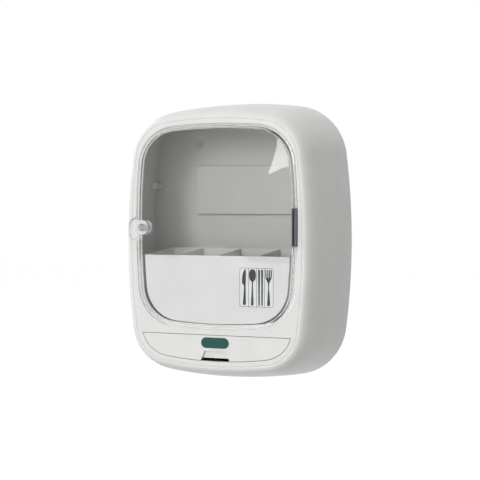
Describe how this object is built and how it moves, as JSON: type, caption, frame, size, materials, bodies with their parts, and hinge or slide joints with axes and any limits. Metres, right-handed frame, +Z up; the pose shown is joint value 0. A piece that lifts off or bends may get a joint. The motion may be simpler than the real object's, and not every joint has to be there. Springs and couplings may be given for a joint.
{
  "type": "chopstick holder with flip lid",
  "caption": "Wall-hung chopstick and spoon holder: rounded housing with a clear side-hinged lid, a divided lift-out caddy and a pull-out drip tray.",
  "frame": {"origin": "centre of the wall bracket's plate, on the wall plane", "axes": "+X to the viewer's right, the front faces -Y, +Z up; the wall is the plane Y = 0 and +Y points into it"},
  "size_m": [0.28, 0.1328, 0.36],
  "materials": {
    "bracket_plastic": "matt off-white moulding",
    "adhesive_foam": "grey foam adhesive",
    "shell_plastic": "satin white moulding",
    "back_plastic": "fine-grained matt white",
    "inner_plastic": "satin white",
    "screw_steel": "zinc-plated",
    "cap_plastic": "matt",
    "pad_rubber": "matt rubber",
    "hinge_plastic": "satin blue-grey",
    "pin_steel": "drawn wire",
    "magnet_steel": "nickel-plated",
    "clear_plastic": "clear polished plastic",
    "knob_plastic": "clear, thick, slightly milky",
    "rivet_steel": "turned",
    "caddy_plastic": "satin white moulding",
    "label_print": "printed dark grey",
    "tray_plastic": "satin white moulding",
    "badge_teal": "glossy teal"
  },
  "bodies": {
    "bracket": {"wall_plate": "bracket_plastic", "adhesive_pads": "adhesive_foam"},
    "housing": {"outer_shell": "shell_plastic", "back_panel": "back_plastic", "deck": "inner_plastic", "cover_screws": "screw_steel", "deck_screws": "screw_steel", "screw_caps": "cap_plastic", "wall_pads": "pad_rubber", "hinge_bracket": "hinge_plastic", "hinge_pin": "pin_steel", "catch_magnet": "magnet_steel"},
    "door": {"door_panel": "clear_plastic", "door_hinge": "hinge_plastic", "door_knob": "knob_plastic", "knob_rivet": "rivet_steel"},
    "caddy": {"caddy": "caddy_plastic", "caddy_label": "label_print"},
    "divider_left": {"divider_left": "inner_plastic"},
    "divider_middle": {"divider_middle": "inner_plastic"},
    "divider_right": {"divider_right": "inner_plastic"},
    "tray": {"drip_tray": "tray_plastic", "tray_badge": "badge_teal"}
  },
  "joints": [
    {"name": "housing_lift_off", "type": "slide", "parent": "bracket", "child": "housing", "axis": [0, 0, 1], "range_m": [0, 0.0065]},
    {"name": "door_swing", "type": "hinge", "parent": "housing", "child": "door", "pos_m": [0.1053, -0.1237, -0.043], "axis": [0, 0, 1], "range_deg": [0, 110]},
    {"name": "caddy_lift", "type": "slide", "parent": "housing", "child": "caddy", "axis": [0, 0, 1], "range_m": [0, 0.014]},
    {"name": "divider_left_lift", "type": "slide", "parent": "caddy", "child": "divider_left", "axis": [0, 0, 1], "range_m": [0, 0.06]},
    {"name": "divider_middle_lift", "type": "slide", "parent": "caddy", "child": "divider_middle", "axis": [0, 0, 1], "range_m": [0, 0.06]},
    {"name": "divider_right_lift", "type": "slide", "parent": "caddy", "child": "divider_right", "axis": [0, 0, 1], "range_m": [0, 0.06]},
    {"name": "tray_pull", "type": "slide", "parent": "housing", "child": "tray", "axis": [0, -1, 0], "range_m": [0, 0.08]}
  ]
}
